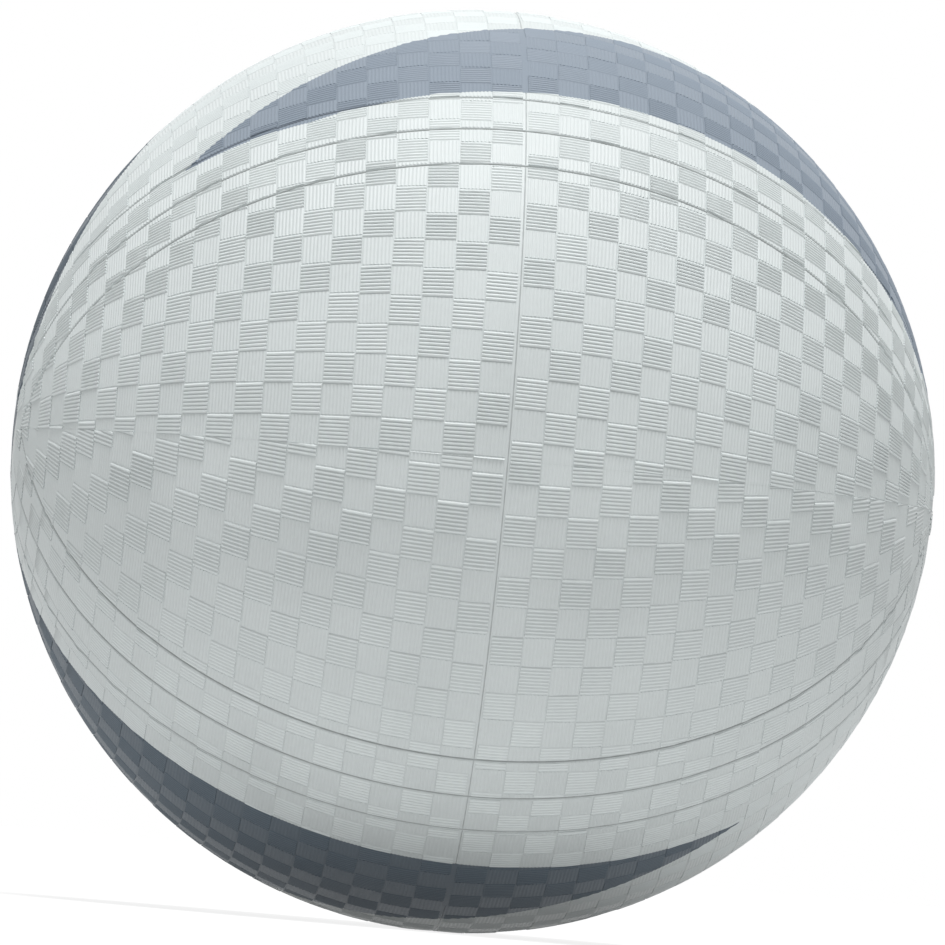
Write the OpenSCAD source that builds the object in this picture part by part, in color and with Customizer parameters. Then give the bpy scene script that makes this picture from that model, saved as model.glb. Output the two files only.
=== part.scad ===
// Moulded rubber ball with an air bladder, a thread winding, a two-piece cover and a needle valve.
// The ball's centre is the origin and the front faces -Y. The two cover halves meet on the YZ plane,
// their poles lie on the X axis, and the valve sits at the +X pole.

/* [Ball] */
// Outside diameter over the cover
ball_d = 200; // [180:1:220]

/* [Walls] */
// Thickness of the moulded cover
cover_t = 1.2; // [1:0.1:2]
// Thickness of the carcass rubber under the cover
carcass_t = 0.5; // [0.4:0.1:1]
// Thickness of the thread winding
winding_t = 0.5; // [0.4:0.1:1]
// Thickness of the bladder's wall
bladder_t = 0.7; // [0.6:0.1:1.2]
// Play between one layer and the next
layer_gap = 0.02; // [0.01:0.01:0.04]
// How far the joint of the carcass lies beside the seam of the cover
joint_stagger = 12; // [5:1:25]

/* [Moulded lines] */
// Width of a moulded line at the surface
line_w = 0.6; // [0.3:0.1:1]
// Depth of a moulded line
line_deep = 0.25; // [0.15:0.05:0.25]
// Distance from the middle line of a band to each of its outer lines
line_space = 10.5; // [9:0.5:15]
// Width of the seam between the two cover halves
seam_w = 0.4; // [0.2:0.1:0.8]
// Depth of that seam
seam_deep = 0.15; // [0.1:0.05:0.25]

/* [Crescents] */
// Thickness of a crescent, which lies flush in the cover
crescent_t = 0.4; // [0.35:0.05:0.6]
// Play between the rim of a crescent and the recess that holds it
rim_gap = 0.02; // [0.01:0.01:0.05]
// Distance from the valve's pad to a crescent that passes it
pad_space = 1; // [0.5:0.5:2]

/* [Valve] */
// Diameter of the valve's neck
neck_d = 9; // [8:0.5:12]
// Length of the valve's neck
neck_len = 15.5; // [15:0.5:18]
// How far the neck ends below the surface of the cover
neck_sink = 0.3; // [0.1:0.1:0.6]
// Play round the neck in the layers that it passes
neck_gap = 0.05; // [0.03:0.01:0.1]
// Bevel round the hole that the neck passes in the cover
rim_bevel = 0.3; // [0.2:0.1:0.5]
// Diameter of the pad round the valve, where the moulded lines stop
pad_d = 17; // [14:0.5:18]
// Diameter of the flange inside the bladder
flange_d = 30; // [24:1:36]
// Thickness of the flange
flange_t = 1.2; // [1:0.1:1.6]
// Diameter of the cone where it meets the flange
cone_d = 15; // [13:0.5:18]
// Height of the cone between the neck and the flange
cone_h = 4.5; // [3:0.5:6]
// Diameter of the reinforcing patch round the valve
patch_d = 44; // [38:1:50]
// Thickness of the reinforcing patch
patch_t = 0.6; // [0.4:0.1:1]

/* [Valve core] */
// Diameter of the core's head
head_d = 5.4; // [5.2:0.1:5.8]
// Height of the head
head_h = 2; // [1.5:0.1:2.5]
// Diameter of the retaining bead
bead_d = 6.4; // [6.2:0.1:6.6]
// Height of the bead
bead_h = 1.6; // [1.4:0.1:2]
// Chamfer of the bead
bead_bevel = 0.5; // [0.3:0.1:0.6]
// Diameter of the core's stem
stem_d = 4.8; // [4.6:0.1:5]
// Overall length of the core
core_len = 16; // [15.5:0.1:17]
// How far the core's face lies below the end of the neck
core_sink = 0.2; // [0.1:0.1:0.5]
// Play between the core and the pocket that holds it
core_gap = 0.02; // [0.01:0.01:0.05]
// Diameter of the bore for the pump's needle
needle_bore_d = 2.1; // [1.8:0.1:2.4]
// Depth of the needle bore from the core's face
needle_bore_len = 12; // [10:0.5:12]
// Diameter of the funnel at the mouth of the bore
funnel_d = 3.4; // [3:0.1:3.8]
// Depth of the funnel
funnel_h = 1; // [0.6:0.1:1.5]
// Height of the flattened lips at the inner end
lips_h = 3; // [2:0.5:3]
// Thickness of the lips at their tip
lips_t = 1.2; // [1:0.1:2]
// Width of the slit between the lips
slit_w = 0.15; // [0.1:0.05:0.3]
// Length of the slit across the lips
slit_l = 3; // [2.5:0.1:3.5]

/* [Balance patch] */
// Diameter of the balance patch opposite the valve
balance_d = 46; // [38:1:54]
// Thickness of the balance patch
balance_t = 1.5; // [1:0.1:2]

/* [Hidden] */
$fn = 120;

// Distance by which a cutting shape runs past what it cuts, and one piece's shapes run into each other
overrun = 0.5;
// Reach of a shape that has to pass the whole ball
reach = ball_d;

// Outside radius of each layer, worked inwards from the surface
ball_r = ball_d / 2;
carcass_r = ball_r - cover_t - layer_gap;
winding_r = carcass_r - carcass_t - layer_gap;
bladder_r = winding_r - winding_t - layer_gap;
patch_r = bladder_r - bladder_t - layer_gap;
flange_r = patch_r - patch_t - layer_gap;

// Radius of the hole that the valve's neck passes in each layer
hole_r = neck_d / 2 + neck_gap;

// Places along the valve's axis
neck_end = ball_r - neck_sink;
core_face = neck_end - core_sink;

// A crescent lies between two circles on the ball. Each circle is given by the lean of its axis towards the
// valve, the turn of its axis up from the front, and its distance from the centre as a share of the radius.
crescent_top_shares = [[-3.1, 145.3, -0.048], [17.9, -19, -0.004]];
crescent_bottom_shares = [[-2.2, -135.3, 0.224], [-13.7, 34.1, -0.244]];
crescent_rear_shares = [[-44, 160, 0.69], [42.4, -7.9, -0.69]];

// Colours of the materials
cover_colour = [0.76, 0.79, 0.79];
crescent_colour = [0.33, 0.37, 0.42];
carcass_colour = [0.16, 0.16, 0.17];
thread_colour = [0.88, 0.87, 0.82];
bladder_colour = [0.1, 0.1, 0.11];
patch_colour = [0.2, 0.19, 0.18];
valve_colour = [0.45, 0.47, 0.49];

// Turns the Z axis to a direction on the ball: first leaned towards the valve, then turned up from the front
module towards(lean, turn) {
    rotate([-turn, 0, 0]) rotate([0, 0, lean]) rotate([90, 0, 0]) children();
}

// Stands the Z axis on a pole, pointing out: the one with the valve for side 1, the left one for side -1
module on_pole(side) {
    rotate([0, side * 90, 0]) children();
}

// A piece turned round the axis of a pole. In its section X is the distance from that axis, and Y runs out
// along the axis.
module turned(side) {
    on_pole(side) rotate_extrude() children();
}

// Section of a spherical wall from the height that is given as from up to the pole, where it has a hole
module wall_section(outer_r, t, from, hole_r) {
    difference() {
        circle(r = outer_r);
        circle(r = outer_r - t);
        translate([-reach, -reach]) square([reach, 2 * reach]);
        translate([-reach, -reach]) square([2 * reach, reach + from]);
        translate([-reach, 0]) square([reach + hole_r, reach]);
    }
}

// Section of a round piece of a spherical wall at the pole
module disc_section(outer_r, t, d, hole_r) {
    intersection() {
        wall_section(outer_r, t, 0, hole_r);
        square([d / 2, reach]);
    }
}

// The outermost part of the ball down to a depth, reaching over its surface by over
module outer_wall(deep, over) {
    difference() {
        sphere(r = ball_r + over);
        sphere(r = ball_r - deep);
    }
}

// Everything beyond the plane of one circle on the ball, moved outwards by inset
module beyond_circle(circle, inset) {
    towards(circle[0], circle[1])
        translate([-reach, -reach, circle[2] * ball_r + inset])
            cube([2 * reach, 2 * reach, reach]);
}

// The space between the two circles of a crescent, which goes round the valve's pad
module between_circles(circles, inset) {
    difference() {
        intersection() {
            beyond_circle(circles[0], inset);
            beyond_circle(circles[1], inset);
        }
        on_pole(1) cylinder(d = pad_d + 2 * (pad_space + inset), h = reach);
    }
}

// The cutter of a groove that runs round the Z axis: offset is its distance from the ball's middle plane
module groove(w, deep, offset, from, to) {
    lift = asin(offset / ball_r);
    half_w = w / 2 * (deep + overrun) / deep;
    rotate([0, 0, from])
        rotate_extrude(angle = to - from)
            rotate(lift)
                polygon([[ball_r - deep, 0], [ball_r + overrun, -half_w], [ball_r + overrun, half_w]]);
}

// One band of three lines. Its middle line runs through the left pole and stops at the valve's pad. Each
// outer line stops where it meets one of the other band, so the four fields of the ball have pointed ends.
module band(turn) {
    pad_angle = asin(pad_d / ball_d);
    // The outer lines run past their meeting point by half a line's width, which closes the corner
    tip_angle = asin(line_space / sqrt(pow(ball_r, 2) - pow(line_space, 2))) - asin(line_w / ball_d);
    towards(0, turn) {
        groove(line_w, line_deep, 0, pad_angle, 360 - pad_angle);
        for (side = [-1, 1], half = [0, 180])
            groove(line_w, line_deep, side * line_space, half + tip_angle, half + 180 - tip_angle);
    }
}

// All the moulded lines: two bands at right angles, halfway between the front and the top or bottom
module moulded_lines() {
    band(45);
    band(135);
}

// Section of one cover half. The seam's edge is bevelled, and so is the rim of the hole at the pole.
module cover_section(hole_r) {
    difference() {
        wall_section(ball_r, cover_t, 0, hole_r);
        // Half of the seam's groove
        polygon([[ball_r - seam_deep, 0], [ball_r + overrun, seam_w / 2 * (seam_deep + overrun) / seam_deep],
                 [ball_r + overrun, -overrun], [ball_r - seam_deep, -overrun]]);
        // Bevelled rim
        if (hole_r > 0)
            translate([hole_r, sqrt(pow(ball_r, 2) - pow(hole_r, 2))])
                polygon([[-overrun, -rim_bevel - overrun], [rim_bevel + overrun, overrun],
                         [-overrun, overrun]]);
    }
}

// One half of the cover with its recesses and lines, to the left for side -1 and to the right for side 1
module cover_half(side) {
    difference() {
        turned(side) cover_section(side > 0 ? hole_r : 0);
        for (circles = [crescent_top_shares, crescent_bottom_shares, crescent_rear_shares])
            intersection() {
                outer_wall(crescent_t + layer_gap, overrun);
                between_circles(circles, 0);
            }
        moulded_lines();
    }
}

// A crescent that lies flush in its recess, with the moulded lines running across it
module crescent(circles) {
    difference() {
        intersection() {
            outer_wall(crescent_t, 0);
            between_circles(circles, rim_gap);
        }
        moulded_lines();
    }
}

// Outline of the core from its face down to its inner end, grown by gap at every radius
function core_outline(gap, above, length) = let (
    head_r = head_d / 2 + gap,
    bead_r = bead_d / 2 + gap,
    stem_r = stem_d / 2 + gap
) [
    [0, above], [head_r, above], [head_r, -head_h],
    [bead_r, -head_h - bead_bevel], [bead_r, -head_h - bead_h + bead_bevel],
    [stem_r, -head_h - bead_h], [stem_r, -length], [0, -length]
];

module bladder() {
    color(bladder_colour) turned(1) wall_section(bladder_r, bladder_t, -ball_r, hole_r);
}

module valve_patch() {
    color(patch_colour) turned(1) disc_section(patch_r, patch_t, patch_d, hole_r);
}

module valve_housing() {
    color(valve_colour) turned(1) difference() {
        union() {
            disc_section(flange_r, flange_t, flange_d, 0);
            translate([0, neck_end - neck_len]) square([neck_d / 2, neck_len]);
            // Cone under the flange
            translate([0, flange_r - flange_t - cone_h])
                polygon([[0, 0], [neck_d / 2, 0], [cone_d / 2, cone_h], [cone_d / 2, cone_h + flange_t / 2],
                         [0, cone_h + flange_t / 2]]);
        }
        translate([0, core_face]) polygon(core_outline(core_gap, core_sink + overrun, neck_len + overrun));
    }
}

module valve_core() {
    // The funnel and the planes of the lips keep their slope where they run past the core
    funnel_over = funnel_h + overrun;
    funnel_over_d = needle_bore_d + (funnel_d - needle_bore_d) * funnel_over / funnel_h;
    shave_w = stem_d - lips_t;
    color(valve_colour) on_pole(1) translate([0, 0, core_face]) difference() {
        rotate_extrude() polygon(core_outline(0, 0, core_len));
        // Needle bore and its funnel
        translate([0, 0, -needle_bore_len]) cylinder(d = needle_bore_d, h = needle_bore_len + overrun);
        translate([0, 0, -funnel_h]) cylinder(d1 = needle_bore_d, d2 = funnel_over_d, h = funnel_over);
        // Flattened lips
        for (side = [0, 1])
            mirror([side, 0, 0])
                translate([0, stem_d, -core_len])
                    rotate([90, 0, 0])
                        linear_extrude(2 * stem_d)
                            polygon([[lips_t / 2, 0], [lips_t / 2 + shave_w, 2 * lips_h],
                                     [lips_t / 2 + shave_w, -overrun], [lips_t / 2, -overrun]]);
        // Slit that the needle parts
        translate([-slit_w / 2, -slit_l / 2, -core_len - overrun])
            cube([slit_w, slit_l, core_len + overrun - needle_bore_len + slit_w]);
    }
}

module balance_patch() {
    color(patch_colour) turned(-1) disc_section(patch_r, balance_t, balance_d, 0);
}

module thread_winding() {
    color(thread_colour) turned(1) wall_section(winding_r, winding_t, -ball_r, hole_r);
}

module carcass_left() {
    color(carcass_colour) turned(-1) wall_section(carcass_r, carcass_t, -joint_stagger, 0);
}

module carcass_right() {
    color(carcass_colour) turned(1) wall_section(carcass_r, carcass_t, joint_stagger + layer_gap, hole_r);
}

module cover_left() {
    color(cover_colour) cover_half(-1);
}

module cover_right() {
    color(cover_colour) cover_half(1);
}

module crescent_top() {
    color(crescent_colour) crescent(crescent_top_shares);
}

module crescent_bottom() {
    color(crescent_colour) crescent(crescent_bottom_shares);
}

module crescent_rear() {
    color(crescent_colour) crescent(crescent_rear_shares);
}

bladder();
valve_patch();
valve_housing();
valve_core();
balance_patch();
thread_winding();
carcass_left();
carcass_right();
cover_left();
cover_right();
crescent_top();
crescent_bottom();
crescent_rear();
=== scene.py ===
import math

import bmesh
import bpy
from mathutils import Matrix, Vector


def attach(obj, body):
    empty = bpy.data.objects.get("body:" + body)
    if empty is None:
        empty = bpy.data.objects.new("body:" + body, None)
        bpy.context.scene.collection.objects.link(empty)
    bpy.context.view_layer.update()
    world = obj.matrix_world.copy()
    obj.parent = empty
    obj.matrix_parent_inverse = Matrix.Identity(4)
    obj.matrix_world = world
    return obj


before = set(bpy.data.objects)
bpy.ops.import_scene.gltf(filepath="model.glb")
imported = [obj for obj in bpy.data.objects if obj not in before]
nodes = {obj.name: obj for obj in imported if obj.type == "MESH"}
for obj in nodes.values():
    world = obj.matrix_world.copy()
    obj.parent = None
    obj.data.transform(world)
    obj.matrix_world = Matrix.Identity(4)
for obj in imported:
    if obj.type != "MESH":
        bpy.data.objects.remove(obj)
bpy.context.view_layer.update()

# sizes of the ball, in metres and degrees: up from the front is a turn, towards the valve is a lean
ball = {"radius": 0.1, "lineWidth": 0.0006, "lineSpace": 0.0105, "padWidth": 0.017, "padSpace": 0.001}

# every crescent's dark colour lies inside its circles: lean, turn and the circle's distance as a share of
# the radius. They are the circles of the solid inlays, brought closer to the photo at the left tip of the
# top crescent, at the lower edge of the bottom one and at the front edge of the rear one
crescents = {
    "crescent_top": [(-3.1, 145.3, -0.048), (17.9, -19, -0.004), (5.6, 140.3, -0.038)],
    "crescent_bottom": [(-2.2, -135.3, 0.224), (-21.0, 32.9, -0.304)],
    "crescent_rear": [(-53.8, 150.8, 0.78), (42.4, -7.9, -0.69)],
}


class Link:
    # a socket in node maths: an operator on it adds the Math node that it stands for
    def __init__(self, sheet, out):
        self.sheet = sheet
        self.out = out

    def maths(self, operation, first, second=0, clamp=False):
        settings = {"operation": operation, "use_clamp": clamp}
        return self.sheet.node("ShaderNodeMath", settings, {0: first, 1: second})

    def __add__(self, other):
        return self.maths("ADD", self, other)

    def __radd__(self, other):
        return self.maths("ADD", other, self)

    def __sub__(self, other):
        return self.maths("SUBTRACT", self, other)

    def __rsub__(self, other):
        return self.maths("SUBTRACT", other, self)

    def __mul__(self, other):
        return self.maths("MULTIPLY", self, other)

    def __rmul__(self, other):
        return self.maths("MULTIPLY", other, self)

    def __truediv__(self, other):
        return self.maths("DIVIDE", self, other)

    def __mod__(self, other):
        return self.maths("MODULO", self, other)

    def __gt__(self, other):
        return self.maths("GREATER_THAN", self, other)

    def orMore(self, other):
        return self.maths("MAXIMUM", self, other)

    def size(self):
        return self.maths("ABSOLUTE", self)

    def whole(self):
        return self.maths("FLOOR", self)

    def sine(self):
        return self.maths("SINE", self)

    def cosine(self):
        return self.maths("COSINE", self)

    def power(self, other):
        return self.maths("POWER", self, other)

    def step(self, width):
        return self.maths("DIVIDE", self, width, clamp=True)


class Sheet:
    # the node tree of a material, the world or a modifier
    def __init__(self, tree):
        self.tree = tree

    def node(self, kind, settings, sockets, out=0):
        made = self.tree.nodes.new(kind)
        for key, value in settings.items():
            setattr(made, key, value)
        for key, value in sockets.items():
            if isinstance(value, Link):
                self.tree.links.new(value.out, made.inputs[key])
            elif isinstance(value, tuple) and made.inputs[key].type == "RGBA":
                made.inputs[key].default_value = (*value, 1)
            else:
                made.inputs[key].default_value = value
        return Link(self, made.outputs[out])

    def blend(self, share, first, second):
        # colours are blended by a Mix node; its colour sockets are the seventh and the eighth
        return self.node("ShaderNodeMix", {"data_type": "RGBA"}, {0: share, 6: first, 7: second}, 2)

    def tint(self, colour, amount):
        # a colour made lighter or darker by a value
        return self.node("ShaderNodeVectorMath", {"operation": "SCALE"}, {0: colour, "Scale": amount})

    def dot(self, first, second):
        return self.node("ShaderNodeVectorMath", {"operation": "DOT_PRODUCT"}, {0: first, 1: second}, 1)

    def reach(self, place, axes=(1, 1, 1)):
        # how far a place lies from the origin, along the axes that are 1
        kept = self.node("ShaderNodeVectorMath", {"operation": "MULTIPLY"}, {0: place, 1: axes})
        return self.node("ShaderNodeVectorMath", {"operation": "LENGTH"}, {0: kept}, 1)

    def axis(self, place, number):
        return self.node("ShaderNodeSeparateXYZ", {}, {0: place}, number)

    def noise(self, place, grain, detail=2.0, rough=0.5):
        # grain is the size of the noise's features in metres
        sockets = {"Vector": place, "Scale": 1 / grain, "Detail": detail, "Roughness": rough}
        return self.node("ShaderNodeTexNoise", {}, sockets)


def screen(*shades):
    # a colour as it reads on the screen, 11 to 255, as the linear numbers that nodes take
    return tuple(((shade / 255 + 0.055) / 1.055) ** 2.4 for shade in shades)


def toward(lean, turn):
    # the direction with this lean towards the valve and this turn up from the front
    lean, turn = math.radians(lean), math.radians(turn)
    return Vector((math.sin(lean), -math.cos(lean) * math.cos(turn), math.cos(lean) * math.sin(turn)))


print("materials")

rubberLook = {
    "pale": screen(203, 209, 209),
    # the top crescent is the dark rubber of the others, made lighter by painted sheen from the light above
    "crescent_top": screen(130, 140, 151),
    "crescent_bottom": screen(84, 95, 104),
    "crescent_rear": screen(84, 94, 103),
    "worn": screen(197, 203, 203),
    "cloud": 0.03,
    "cloudFrom": 0.35,
    "cloudBlend": 0.4,
    "fleck": 0.0016,
    "shade": 0.96,
    "fleckShade": 0.06,
    "grainShade": 0.03,
    "roughness": 0.46,
    "fleckRoughness": 0.12,
    "specular": 0.2,
    "grain": 0.00035,
    "grainDepth": 0.00003,
    # painted shade in the moulded lines and below the cover's surface
    "grooveShade": 0.5,
    "grooveShadeFrom": 0.00003,
    "grooveShadeDepth": 0.0002,
    "crescentEdge": 0.00006,
    # painted highlight on the ribs' crests and painted shade between them, how much upright tiles keep, and
    # the rise where the tint is neutral
    "ribLightAndShade": 0.28,
    "uprightLightAndShade": 0.15,
    "untintedRise": 0.3,
}
plainLook = {
    "grain": 0.0005,
    "grainDepth": 0.00005,
    "shade": 0.9,
    "grainShade": 0.2,
    "cloud": 0.006,
    "dustFrom": 0.5,
    "dustBlend": 0.3,
    "cloudRoughness": 0.15,
    "specular": 0.4,
}
# the thread is wound five ways, each given by the lean and the turn of its pole
threadLook = {
    "ways": [(0, 0), (62, 20), (-58, 75), (25, 120), (-30, 160)],
    "pitch": 0.0016,
    "wander": 0.05,
    "wanderBy": 0.004,
    "underBy": 0.98,
    # painted shade between the strands, a darker copy of the thread's own colour
    "groove": screen(150, 146, 132),
    "crest": screen(236, 232, 220),
    "roughness": 0.42,
    "grooveRoughness": 0.3,
    "depth": 0.0003,
    "sheen": 0.3,
}


def newMaterial(name):
    made = bpy.data.materials.new(name)
    made.use_nodes = True
    made.node_tree.nodes.clear()
    return made, Sheet(made.node_tree)


def finishMaterial(sheet, colour, roughness, height, depth, sockets):
    normal = sheet.node("ShaderNodeBump", {}, {"Strength": 1.0, "Distance": depth, "Height": height})
    shader = sheet.node("ShaderNodeBsdfPrincipled", {}, {
        "Base Color": colour, "Roughness": roughness, "Normal": normal, **sockets})
    out = sheet.tree.nodes.new("ShaderNodeOutputMaterial")
    sheet.tree.links.new(shader.out, out.inputs["Surface"])


def paintCrescents(sheet, place, colour):
    # each crescent's own colour inside its circles, except on the valve's pad and just round it
    valveSide = sheet.axis(place, 0) > 0
    within = ball["padWidth"] / 2 + ball["padSpace"] - sheet.reach(place, (0, 1, 1))
    onPad = within.step(rubberLook["crescentEdge"]) * valveSide
    for name, circles in crescents.items():
        inside = 1 - onPad
        for lean, turn, share in circles:
            depth = sheet.dot(place, tuple(toward(lean, turn))) - share * ball["radius"]
            inside = inside * depth.step(rubberLook["crescentEdge"])
        colour = sheet.blend(inside, colour, rubberLook[name])
    return colour


def rubberSkin(name, isRelief=False):
    look = rubberLook
    made, s = newMaterial(name)
    place = s.node("ShaderNodeTexCoord", {}, {}, "Object")
    grain = s.noise(place, look["grain"], 3.0, 0.6)
    cloud = s.noise(place, look["cloud"])
    fleck = s.noise(place, look["fleck"])
    pale = s.blend((cloud - look["cloudFrom"]).step(look["cloudBlend"]), look["pale"], look["worn"])
    colour = paintCrescents(s, place, pale)
    colour = s.tint(colour, look["shade"] + fleck * look["fleckShade"] + grain * look["grainShade"])
    if isRelief:
        # painted light and shade: the ribs' crests are made paler as a painted highlight and the grooves
        # between them darker as painted shade, less so on upright tiles
        crest = s.node("ShaderNodeAttribute", {"attribute_name": "crest"}, {}, 2)
        upright = s.node("ShaderNodeAttribute", {"attribute_name": "upright"}, {}, 2)
        paintedRibLight = look["ribLightAndShade"] * (1 + upright * (look["uprightLightAndShade"] - 1))
        colour = s.tint(colour, 1 + (crest - look["untintedRise"]) * paintedRibLight)
    else:
        # painted shade: the moulded lines, and all that lies below the surface, are darkened
        depth = (ball["radius"] - look["grooveShadeFrom"] - s.reach(place)).step(look["grooveShadeDepth"])
        colour = s.tint(colour, 1 - depth * look["grooveShade"])
    rough = look["roughness"] + (fleck - 0.5) * look["fleckRoughness"]
    finishMaterial(s, colour, rough, grain, look["grainDepth"], {"Specular IOR Level": look["specular"]})
    return made


def plainRubber(name, colour, dust, roughness, dustShare):
    look = plainLook
    made, s = newMaterial(name)
    place = s.node("ShaderNodeTexCoord", {}, {}, "Object")
    grain = s.noise(place, look["grain"], 3.0, 0.6)
    cloud = s.noise(place, look["cloud"], 4.0, 0.6)
    shade = s.blend((cloud - look["dustFrom"]).step(look["dustBlend"]) * dustShare, colour, dust)
    shade = s.tint(shade, look["shade"] + grain * look["grainShade"])
    rough = roughness + (cloud - 0.5) * look["cloudRoughness"]
    finishMaterial(s, shade, rough, grain, look["grainDepth"], {"Specular IOR Level": look["specular"]})
    return made


def threadWinding(name):
    look = threadLook
    made, s = newMaterial(name)
    place = s.node("ShaderNodeTexCoord", {}, {}, "Object")
    wander = s.noise(place, look["wander"], 1.0) * look["wanderBy"]
    height = None
    for lean, turn in look["ways"]:
        along = (s.dot(place, tuple(toward(lean, turn))) + wander) * (math.tau / look["pitch"])
        ridge = along.sine() * 0.5 + 0.5
        height = ridge if height is None else height.orMore(ridge * look["underBy"])
    # painted shade: the thread is darker between its strands
    colour = s.blend(height, look["groove"], look["crest"])
    rough = look["roughness"] + (1 - height) * look["grooveRoughness"]
    finishMaterial(s, colour, rough, height, look["depth"], {"Sheen Weight": look["sheen"]})
    return made


materials = {
    "cover": rubberSkin("coverRubber"),
    "crescent": rubberSkin("crescentRubber"),
    "relief": rubberSkin("basketRubber", isRelief=True),
    "carcass": plainRubber("carcassRubber", screen(48, 48, 50), screen(92, 92, 92), 0.62, 0.3),
    "bladder": plainRubber("bladderRubber", screen(34, 34, 37), screen(120, 118, 112), 0.55, 0.4),
    "patch": plainRubber("patchRubber", screen(56, 53, 50), screen(98, 94, 88), 0.66, 0.4),
    "valve": plainRubber("valveRubber", screen(118, 123, 128), screen(134, 138, 141), 0.42, 0.3),
    "thread": threadWinding("nylonThread"),
}

nodeMaterials = {
    "bladder": "bladder", "valve_patch": "patch", "valve_housing": "valve", "valve_core": "valve",
    "balance_patch": "patch", "thread_winding": "thread", "carcass_left": "carcass",
    "carcass_right": "carcass", "cover_left": "cover", "cover_right": "cover",
    "crescent_top": "crescent", "crescent_bottom": "crescent", "crescent_rear": "crescent",
}
for nodeName, use in nodeMaterials.items():
    for slot in nodes[nodeName].material_slots:
        slot.material = materials[use]


print("basket-weave relief")

# the tiles' sizes are in metres, their heights above the cover's surface, the shares between 0 and 1
basket = {
    "columns": 22,
    "rows": 52,
    "columnPitch": 0.006685,
    "gap": 0.0002,
    "ribs": 8,
    "ribProfile": ((0.02, 0), (0.24, 0.6), (0.46, 1), (0.73, 0.5)),
    "ribHeight": 0.00044,
    "uprightShare": 0.45,
    "strongTurn": 18,
    "weakShare": 0.4,
    "twist": 0.02,
    "twistSeed": 50,
    "rowsPastQuarter": 0.55,
    "foot": -0.00004,
    "sink": 0.00014,
    "taper": 0.00006,
    "lean": 0.25,
    "unevenness": 0.3,
    "lineMargin": 0.00012,
    "meetingGap": 0.00002,
    "halfQuarter": 45,
    "cutSlack": 1e-8,
    "hair": 2e-6,
    "least": 1e-6,
    "flatBelow": 0.5,
}

# each field of tiles covers a quarter turn on one side of the seam, and its rows run evenly both ways from
# one turn: the side, the quarter's middle turn, the turn the rows run from, the first column's distance
# from the seam, the rows' pitch, their shift, how fast a row narrows away from the seam, and which tile is
# first
fields = {
    "relief_left_top_front": (-1, 45, 6, 0.0006, 0.006676, -0.0033, 1.0, 0),
    "relief_right_top_front": (1, 45, 27, 0.0004, 0.00672, 0.00414, 0.8, 0),
    "relief_left_low_front": (-1, -45, -45, 0.0006, 0.00689, -0.00025, 1.0, 0),
    "relief_right_low_front": (1, -45, -30, 0.0004, 0.006545, -0.0048, 1.1, 0),
    "relief_left_top_back": (-1, 135, 135, 0.0006, 0.0068, 0.001, 1.0, 0),
    "relief_right_top_back": (1, 135, 135, 0.0004, 0.0068, -0.001, 1.0, 0),
    "relief_left_low_back": (-1, -135, -135, 0.0006, 0.0068, -0.0012, 1.0, 1),
    "relief_right_low_back": (1, -135, -135, 0.0004, 0.0068, 0.0004, 1.0, 0),
}


def ribbedTile():
    # one tile, a unit wide and high, with its ribs along X: the ribs' ends slope, and between the ribs the
    # tile lies just under the cover's surface
    foot, top, sink = basket["foot"], basket["ribHeight"], basket["sink"]
    profile = [(-0.5, foot)]
    for rib in range(basket["ribs"]):
        for at, rise in basket["ribProfile"]:
            profile.append(((rib + at) / basket["ribs"] - 0.5, foot + rise * (top - foot)))
    profile += [(0.5, foot), (0.5, -sink), (-0.5, -sink)]
    slope = basket["taper"] / top / basket["columnPitch"]
    stations = (-1, 0, 1)
    points = [(at * (0.5 - slope * max(z, 0)), y, z) for at in stations for y, z in profile]
    count = len(profile)
    last = count * (len(stations) - 1)
    faces = []
    for start in range(0, last, count):
        for i in range(count):
            j = (i + 1) % count
            faces.append((start + i, start + count + i, start + count + j, start + j))
    faces += [tuple(range(count)), tuple(range(last, last + count))]
    mesh = bpy.data.meshes.new("ribbedTile")
    mesh.from_pydata(points, [], faces)
    solid = bmesh.new()
    solid.from_mesh(mesh)
    bmesh.ops.recalc_face_normals(solid, faces=solid.faces)
    solid.to_mesh(mesh)
    solid.free()
    # how near a point is to the crest of its rib, for the material
    crest = mesh.attributes.new("crest", "FLOAT", "POINT")
    for vertex in mesh.vertices:
        crest.data[vertex.index].value = max((vertex.co.z - foot) / (top - foot), 0)
    tile = bpy.data.objects.new("ribbedTile", mesh)
    bpy.context.collection.objects.link(tile)
    return tile


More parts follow.
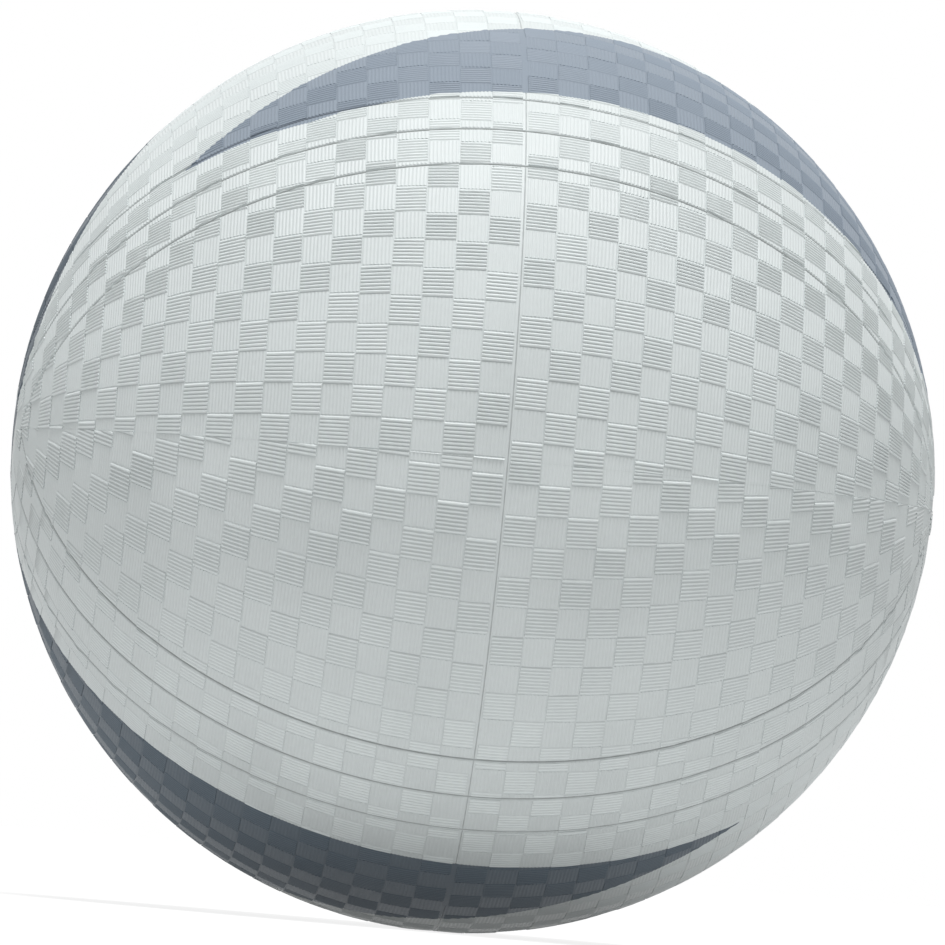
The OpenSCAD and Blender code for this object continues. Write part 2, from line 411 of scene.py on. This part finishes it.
def weaveTree():
    # lays tiles out flat in a chequered grid, then bends the grid onto the ball
    tree = bpy.data.node_groups.new("basketWeave", "GeometryNodeTree")
    tree.interface.new_socket("Geometry", in_out="OUTPUT", socket_type="NodeSocketGeometry")
    sockets = {
        "Tile": "Object", "Columns": "Int", "Rows": "Int", "Column Pitch": "Float", "Row Pitch": "Float",
        "First Column": "Float", "Row Shift": "Float", "First Tile": "Float", "Gap": "Float",
        "Radius": "Float", "Side": "Float", "Turn": "Float", "Quarter": "Float", "Widening": "Float",
        "Lean": "Float", "Unevenness": "Float", "Upright Share": "Float", "Strong Turn": "Float",
        "Weak Share": "Float", "Twist": "Float", "Seed": "Int", "Material": "Material",
    }
    for name, kind in sockets.items():
        tree.interface.new_socket(name, in_out="INPUT", socket_type="NodeSocket" + kind)
    s = Sheet(tree)
    given = tree.nodes.new("NodeGroupInput")
    value = {name: Link(s, given.outputs[name]) for name in sockets}

    def ringAt(across):
        # the ring that a row's pitch is measured on, smaller towards the pole
        return value["Radius"] * (across / value["Radius"]).cosine().power(value["Widening"])

    def store(points, name, number):
        return s.node("GeometryNodeStoreNamedAttribute", {"data_type": "FLOAT", "domain": "POINT"},
                      {"Geometry": points, "Name": name, "Value": number})

    def draw(low, high, seed):
        # a number drawn for each point, always the same one
        return s.node("FunctionNodeRandomValue", {"data_type": "FLOAT"}, {2: low, 3: high, "Seed": seed}, 1)

    index = s.node("GeometryNodeInputIndex", {}, {})
    column = ((index + 0.5) / value["Rows"]).whole()
    row = index - column * value["Rows"] - (value["Rows"] / 2).whole()
    across = value["First Column"] + (column + 0.5) * value["Column Pitch"]
    along = value["Row Shift"] + (row + 0.5) * value["Row Pitch"]
    spot = s.node("ShaderNodeCombineXYZ", {}, {0: across, 1: along})
    points = s.node("GeometryNodePoints", {}, {"Count": value["Columns"] * value["Rows"], "Position": spot})
    # tiles whose middle is well past the quarter go before they are made, and cutTiles trims the others
    ring = ringAt(across)
    aside = (value["Turn"] + along / ring - value["Quarter"]).size() * ring
    outside = aside > ring * (math.pi / 4) + value["Row Pitch"] * basket["rowsPastQuarter"]
    points = s.node("GeometryNodeDeleteGeometry", {"domain": "POINT"}, {0: points, 1: outside})
    # the grid is read again from each point's place, because the points left over are numbered anew
    where = s.node("GeometryNodeInputPosition", {}, {})
    x, y = s.axis(where, 0), s.axis(where, 1)
    points = store(points, "columnAt", x)
    column = ((x - value["First Column"]) / value["Column Pitch"]).whole()
    row = ((y - value["Row Shift"]) / value["Row Pitch"]).whole()
    # the even number keeps the sum above zero
    upright = (column + row + value["First Tile"] + 1000) % 2
    points = store(points, "upright", upright)
    lift = draw(1 - value["Unevenness"], 1.0, value["Seed"])
    lift = lift * (1 + (value["Upright Share"] - 1) * upright)
    # the mould's relief is deepest round one turn, and fades away from it
    near = (value["Turn"] + y / ringAt(x) - value["Strong Turn"]).cosine().orMore(0)
    lift = lift * (value["Weak Share"] + (1 - value["Weak Share"]) * near * near)
    wide = value["Column Pitch"] - value["Gap"]
    high = value["Row Pitch"] - value["Gap"]
    size = s.node("ShaderNodeCombineXYZ", {}, {
        0: wide + (high - wide) * upright, 1: high + (wide - high) * upright, 2: lift})
    twist = draw(-1.0, 1.0, value["Seed"] + basket["twistSeed"]) * value["Twist"]
    turned = s.node("ShaderNodeCombineXYZ", {}, {2: upright * (math.pi / 2) + twist})
    turned = s.node("FunctionNodeEulerToRotation", {}, {0: turned})
    shape = s.node("GeometryNodeObjectInfo", {}, {"Object": value["Tile"]}, "Geometry")
    tiles = s.node("GeometryNodeInstanceOnPoints", {}, {
        "Points": points, "Instance": shape, "Rotation": turned, "Scale": size})
    tiles = s.node("GeometryNodeRealizeInstances", {}, {0: tiles})
    # bend: X runs from the seam to the pole, Y round the ball from the band, Z out
    flat = s.node("GeometryNodeInputPosition", {}, {})
    x, y, z = s.axis(flat, 0), s.axis(flat, 1), s.axis(flat, 2)
    middle = s.node("GeometryNodeInputNamedAttribute", {"data_type": "FLOAT"}, {"Name": "columnAt"}, 0)
    turn = value["Turn"] + y / ringAt(middle + (x - middle) * value["Lean"])
    lean = x / value["Radius"]
    out = value["Radius"] + z
    bent = s.node("ShaderNodeCombineXYZ", {}, {
        0: out * lean.sine() * value["Side"],
        1: out * lean.cosine() * turn.cosine() * -1,
        2: out * lean.cosine() * turn.sine()})
    tiles = s.node("GeometryNodeSetPosition", {}, {"Geometry": tiles, "Position": bent})
    tiles = s.node("GeometryNodeSetMaterial", {}, {"Geometry": tiles, "Material": value["Material"]})
    end = tree.nodes.new("NodeGroupOutput")
    tree.links.new(tiles.out, end.inputs[0])
    return tree


def cutTiles(mesh, turn):
    # tiles stop at the moulded lines and where two fields meet; every cut is closed again
    solid = bmesh.new()
    solid.from_mesh(mesh)

    def across(angle):
        angle = math.radians(angle)
        return Vector((0, math.sin(angle), math.cos(angle)))

    def cut(normal, distance, drop=False):
        everything = solid.verts[:] + solid.edges[:] + solid.faces[:]
        bmesh.ops.bisect_plane(solid, geom=everything, dist=basket["cutSlack"], plane_no=normal,
                               plane_co=normal * distance, clear_inner=drop)

    cut(-across(turn + basket["halfQuarter"]), basket["meetingGap"], drop=True)
    cut(across(turn - basket["halfQuarter"]), basket["meetingGap"], drop=True)
    normal = across(turn)
    half = ball["lineWidth"] / 2 + basket["lineMargin"]
    for middle in (-ball["lineSpace"], 0, ball["lineSpace"]):
        cut(normal, middle - half)
        cut(normal, middle + half)
        strip = [f for f in solid.faces if abs(f.calc_center_median().dot(normal) - middle) < half]
        bmesh.ops.delete(solid, geom=strip, context="FACES")
    # what two cuts leave is merged where it is thinner than a hair, so that every hole has a clear rim
    bmesh.ops.remove_doubles(solid, verts=solid.verts[:], dist=basket["hair"])
    bmesh.ops.dissolve_degenerate(solid, edges=solid.edges[:], dist=basket["least"])
    bmesh.ops.holes_fill(solid, edges=[e for e in solid.edges if e.is_boundary], sides=0)
    bmesh.ops.edgeloop_fill(solid, edges=[e for e in solid.edges if e.is_boundary])
    # a lone face that nothing meets is no body, and goes
    flakes = [face for face in solid.faces if all(e.is_boundary for e in face.edges)]
    bmesh.ops.delete(solid, geom=flakes, context="FACES")
    bmesh.ops.recalc_face_normals(solid, faces=solid.faces)
    # the flanks of the ribs are smooth, and the ends, the sides and the foot are flat
    for face in solid.faces:
        outward = face.calc_center_median().normalized()
        face.smooth = face.normal.dot(outward) > basket["flatBelow"]
    for edge in solid.edges:
        edge.smooth = all(face.smooth for face in edge.link_faces)
    solid.to_mesh(mesh)
    left = sum(1 for e in solid.edges if e.is_boundary)
    solid.free()
    return left


tileShape = ribbedTile()
weave = weaveTree()
socketId = {item.name: item.identifier for item in weave.interface.items_tree if item.in_out == "INPUT"}
for seed, (fieldName, settings) in enumerate(fields.items()):
    side, quarter, turn, first, pitch, shift, widening, firstTile = settings
    carrier = bpy.data.objects.new(fieldName + "_grid", bpy.data.meshes.new(fieldName))
    bpy.context.collection.objects.link(carrier)
    modifier = carrier.modifiers.new("weave", "NODES")
    modifier.node_group = weave
    given = {
        "Tile": tileShape, "Columns": basket["columns"], "Rows": basket["rows"],
        "Column Pitch": basket["columnPitch"], "Row Pitch": pitch, "First Column": first,
        "Row Shift": float(shift), "First Tile": float(firstTile), "Gap": basket["gap"],
        "Radius": ball["radius"], "Side": float(side), "Turn": math.radians(turn),
        "Quarter": math.radians(quarter), "Widening": widening, "Lean": basket["lean"],
        "Unevenness": basket["unevenness"], "Upright Share": basket["uprightShare"],
        "Strong Turn": math.radians(basket["strongTurn"]), "Weak Share": basket["weakShare"],
        "Twist": basket["twist"], "Seed": seed, "Material": materials["relief"],
    }
    for name, value in given.items():
        modifier[socketId[name]] = value
    evaluated = carrier.evaluated_get(bpy.context.evaluated_depsgraph_get())
    shaped = bpy.data.meshes.new_from_object(evaluated)
    bpy.data.objects.remove(carrier)
    left = cutTiles(shaped, quarter)
    piece = bpy.data.objects.new(fieldName, shaped)
    bpy.context.collection.objects.link(piece)
    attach(piece, "root")
    print(fieldName, len(shaped.polygons), "faces,", left, "open edges")
bpy.data.objects.remove(tileShape)


print("floor, light and camera")

studio = {
    "floorSize": 60.0,
    "floorColour": 0.92,
    "floorGlow": 0.85,
    "floorBounce": 0.58,
    # painted shadow in the floor's bounce colour round the ball's foot
    "paintedShadowRadius": 0.045,
    "paintedShadowFade": 0.03,
    "worldStrength": 0.42,
    "topLight": {"source": (-0.02, -0.22, 1), "strength": 1.04, "spread": 20},
    "frontLight": {"source": (-0.04, -1, -0.65), "strength": 0.2, "spread": 60},
}


def whiteToCamera(sheet):
    # 1 for what the camera sees directly, mirrored or through glass
    path = sheet.tree.nodes.new("ShaderNodeLightPath")
    seen = Link(sheet, path.outputs["Is Camera Ray"])
    for name in ("Is Glossy Ray", "Is Transmission Ray"):
        seen = seen.orMore(Link(sheet, path.outputs[name]))
    return seen


def makeFloor():
    half = studio["floorSize"] / 2
    corners = [(-half, -half), (half, -half), (half, half), (-half, half)]
    mesh = bpy.data.meshes.new("floor")
    mesh.from_pydata([(x, y, -ball["radius"]) for x, y in corners], [], [(0, 1, 2, 3)])
    floor = bpy.data.objects.new("floor", mesh)
    bpy.context.collection.objects.link(floor)
    made, s = newMaterial("studioFloor")
    seen = whiteToCamera(s)
    # painted shadow: the floor's bounce colour is darker near the ball's foot, so it gives back less light
    # to the ball's underside
    away = s.reach(s.node("ShaderNodeTexCoord", {}, {}, "Object"), (1, 1, 0))
    bounce = (away - studio["paintedShadowRadius"]).step(studio["paintedShadowFade"]) * studio["floorBounce"]
    bounce = s.node("ShaderNodeCombineColor", {}, {0: bounce, 1: bounce, 2: bounce})
    pale = (studio["floorColour"],) * 3
    lit = s.node("ShaderNodeBsdfDiffuse", {}, {"Color": s.blend(seen, bounce, pale)})
    glow = s.node("ShaderNodeEmission", {}, {"Color": (1.0, 1.0, 1.0), "Strength": 1.0})
    mixed = s.node("ShaderNodeMixShader", {}, {0: seen * studio["floorGlow"], 1: lit, 2: glow})
    out = made.node_tree.nodes.new("ShaderNodeOutputMaterial")
    made.node_tree.links.new(mixed.out, out.inputs["Surface"])
    mesh.materials.append(made)
    # the front light stands low, so the floor doesn't block it
    floor.visible_shadow = False


def makeWorld():
    world = bpy.data.worlds.new("studio")
    bpy.context.scene.world = world
    world.use_nodes = True
    world.node_tree.nodes.clear()
    s = Sheet(world.node_tree)
    strength = studio["worldStrength"] + whiteToCamera(s) * (1 - studio["worldStrength"])
    sky = s.node("ShaderNodeBackground", {}, {"Color": (1.0, 1.0, 1.0), "Strength": strength})
    out = world.node_tree.nodes.new("ShaderNodeOutputWorld")
    world.node_tree.links.new(sky.out, out.inputs["Surface"])


def softSun(name):
    # strength 1 shows a surface that faces the light in its own colour; a wide spread softens the shadows
    lamp = bpy.data.lights.new(name, "SUN")
    lamp.energy = studio[name]["strength"] * math.pi
    lamp.angle = math.radians(studio[name]["spread"])
    made = bpy.data.objects.new(name, lamp)
    bpy.context.collection.objects.link(made)
    made.rotation_euler = Vector(studio[name]["source"]).to_track_quat("Z", "Y").to_euler()


camera = {
    "distance": 2.8,
    "back": Vector((-0.073, -0.9966, -0.030)),
    "up": Vector((-0.089, -0.022, 0.9955)),
    "fieldOfView": 4.195,
    "offset": (0.000105, -0.00021),
    "sensor": 36,
    "clipEnd": 50,
}


def makeCamera():
    back = camera["back"].normalized()
    right = camera["up"].cross(back).normalized()
    up = back.cross(right)
    view = bpy.data.cameras.new("camera")
    view.sensor_width = camera["sensor"]
    view.lens = camera["sensor"] / 2 / math.tan(math.radians(camera["fieldOfView"] / 2))
    view.clip_end = camera["clipEnd"]
    made = bpy.data.objects.new("camera", view)
    bpy.context.collection.objects.link(made)
    place = back * camera["distance"] + right * camera["offset"][0] + up * camera["offset"][1]
    made.matrix_world = Matrix((
        (right.x, up.x, back.x, place.x), (right.y, up.y, back.y, place.y),
        (right.z, up.z, back.z, place.z), (0, 0, 0, 1)))
    bpy.context.scene.camera = made


makeFloor()
makeWorld()
softSun("topLight")
softSun("frontLight")
makeCamera()
bpy.context.scene.view_settings.view_transform = "Standard"
